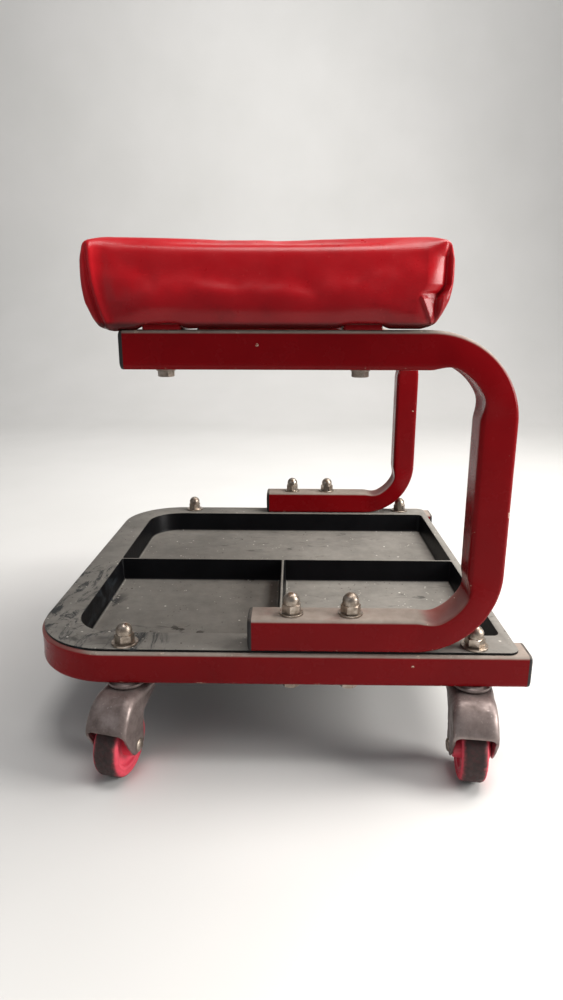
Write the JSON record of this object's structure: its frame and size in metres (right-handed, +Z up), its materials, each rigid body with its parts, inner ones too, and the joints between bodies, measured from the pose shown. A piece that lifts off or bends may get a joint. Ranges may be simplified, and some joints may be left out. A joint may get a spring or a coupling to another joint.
{
  "type": "rolling creeper seat",
  "caption": "Low rolling work seat: padded vinyl seat on bent square-tube side frames over a tube base with a compartment tool tray and swivel casters.",
  "frame": {"origin": "on the floor, under the middle of the base's bounding box", "axes": "+X to the rear, where the side frames' posts stand; +Y to the sitter's right; +Z up"},
  "size_m": [0.3804, 0.4506, 0.3812],
  "materials": {
    "red_paint": "gloss, dusty",
    "red_vinyl": "glossy vinyl",
    "black_plastic": "satin",
    "tray_plastic": "matte, dusty",
    "bright_zinc": "satin, tarnished",
    "dull_zinc": "dull, dusty",
    "wheel_tread": "matte, dirty",
    "wheel_hub": "satin",
    "plywood": "raw",
    "foam": "open-cell foam"
  },
  "bodies": {
    "frame": {"base_frame": "red_paint", "base_end_caps": "black_plastic", "tool_tray": "tray_plastic", "side_frame_left": "red_paint", "side_frame_right": "red_paint", "side_frame_end_caps": "black_plastic", "seat_strap_front": "red_paint", "seat_strap_rear": "red_paint", "seat_board": "plywood", "seat_foam": "foam", "seat_cover": "red_vinyl", "cover_staples": "bright_zinc", "seat_tee_nuts": "bright_zinc", "seat_bolts": "bright_zinc", "seat_bolt_washers": "bright_zinc", "frame_bolts": "bright_zinc", "frame_bolt_washers": "bright_zinc", "frame_acorn_nuts": "bright_zinc", "caster_stems": "bright_zinc", "caster_stem_washers": "bright_zinc", "caster_acorn_nuts": "bright_zinc", "caster_race_cups": "dull_zinc", "caster_balls": "bright_zinc"},
    "caster_front_left": {"fork_front_left": "dull_zinc", "axle_front_left": "bright_zinc"},
    "wheel_front_left": {"tread_front_left": "wheel_tread", "hub_front_left": "wheel_hub", "bush_front_left": "bright_zinc"},
    "caster_rear_left": {"fork_rear_left": "dull_zinc", "axle_rear_left": "bright_zinc"},
    "wheel_rear_left": {"tread_rear_left": "wheel_tread", "hub_rear_left": "wheel_hub", "bush_rear_left": "bright_zinc"},
    "caster_front_right": {"fork_front_right": "dull_zinc", "axle_front_right": "bright_zinc"},
    "wheel_front_right": {"tread_front_right": "wheel_tread", "hub_front_right": "wheel_hub", "bush_front_right": "bright_zinc"},
    "caster_rear_right": {"fork_rear_right": "dull_zinc", "axle_rear_right": "bright_zinc"},
    "wheel_rear_right": {"tread_rear_right": "wheel_tread", "hub_rear_right": "wheel_hub", "bush_rear_right": "bright_zinc"}
  },
  "joints": [
    {"name": "swivel_front_left", "type": "hinge", "parent": "frame", "child": "caster_front_left", "pos_m": [-0.11195, -0.1828, 0.066], "axis": [0, 0, 1], "continuous": true},
    {"name": "roll_front_left", "type": "hinge", "parent": "caster_front_left", "child": "wheel_front_left", "pos_m": [-0.11606, -0.19929, 0.025], "axis": [0.9703, -0.2419, 0], "continuous": true},
    {"name": "swivel_rear_left", "type": "hinge", "parent": "frame", "child": "caster_rear_left", "pos_m": [0.14945, -0.1828, 0.066], "axis": [0, 0, 1], "continuous": true},
    {"name": "roll_rear_left", "type": "hinge", "parent": "caster_rear_left", "child": "wheel_rear_left", "pos_m": [0.14767, -0.19971, 0.025], "axis": [0.9945, -0.1045, 0], "continuous": true},
    {"name": "swivel_front_right", "type": "hinge", "parent": "frame", "child": "caster_front_right", "pos_m": [-0.11195, 0.1828, 0.066], "axis": [0, 0, 1], "continuous": true},
    {"name": "roll_front_right", "type": "hinge", "parent": "caster_front_right", "child": "wheel_front_right", "pos_m": [-0.11606, 0.19929, 0.025], "axis": [-0.9703, -0.2419, 0], "continuous": true},
    {"name": "swivel_rear_right", "type": "hinge", "parent": "frame", "child": "caster_rear_right", "pos_m": [0.14945, 0.1828, 0.066], "axis": [0, 0, 1], "continuous": true},
    {"name": "roll_rear_right", "type": "hinge", "parent": "caster_rear_right", "child": "wheel_rear_right", "pos_m": [0.14767, 0.19971, 0.025], "axis": [-0.9945, -0.1045, 0], "continuous": true}
  ]
}
